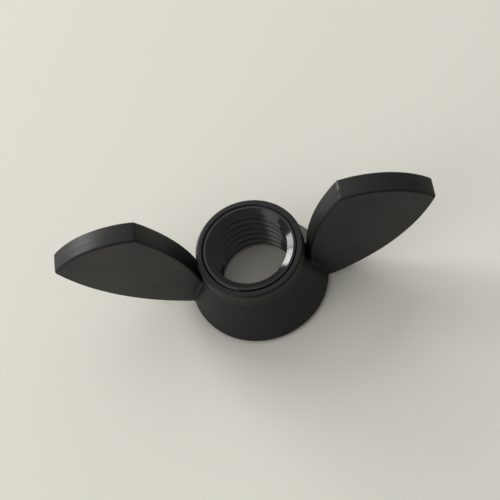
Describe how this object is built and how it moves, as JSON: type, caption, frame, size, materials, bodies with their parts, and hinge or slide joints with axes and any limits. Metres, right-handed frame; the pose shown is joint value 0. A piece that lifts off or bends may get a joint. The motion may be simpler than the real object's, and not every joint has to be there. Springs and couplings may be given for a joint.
{
  "type": "wing nut",
  "caption": "Black wing nut: flat upright wings on a conical hub round a threaded bush, for tightening by hand on a stud or bolt.",
  "frame": {"origin": "on the thread axis, in the seating face under the hub", "axes": "+Z along the thread axis from the seating face towards the wings' peaks; the wings lie in the XZ plane, one along +X and one along -X"},
  "size_m": [0.0682, 0.0264, 0.0279],
  "materials": {
    "body_moulding": "satin black moulding",
    "bush_metal": "glossy blackened steel"
  },
  "bodies": {
    "root": {"wing_body": "body_moulding", "threaded_bush": "bush_metal"}
  },
  "joints": []
}
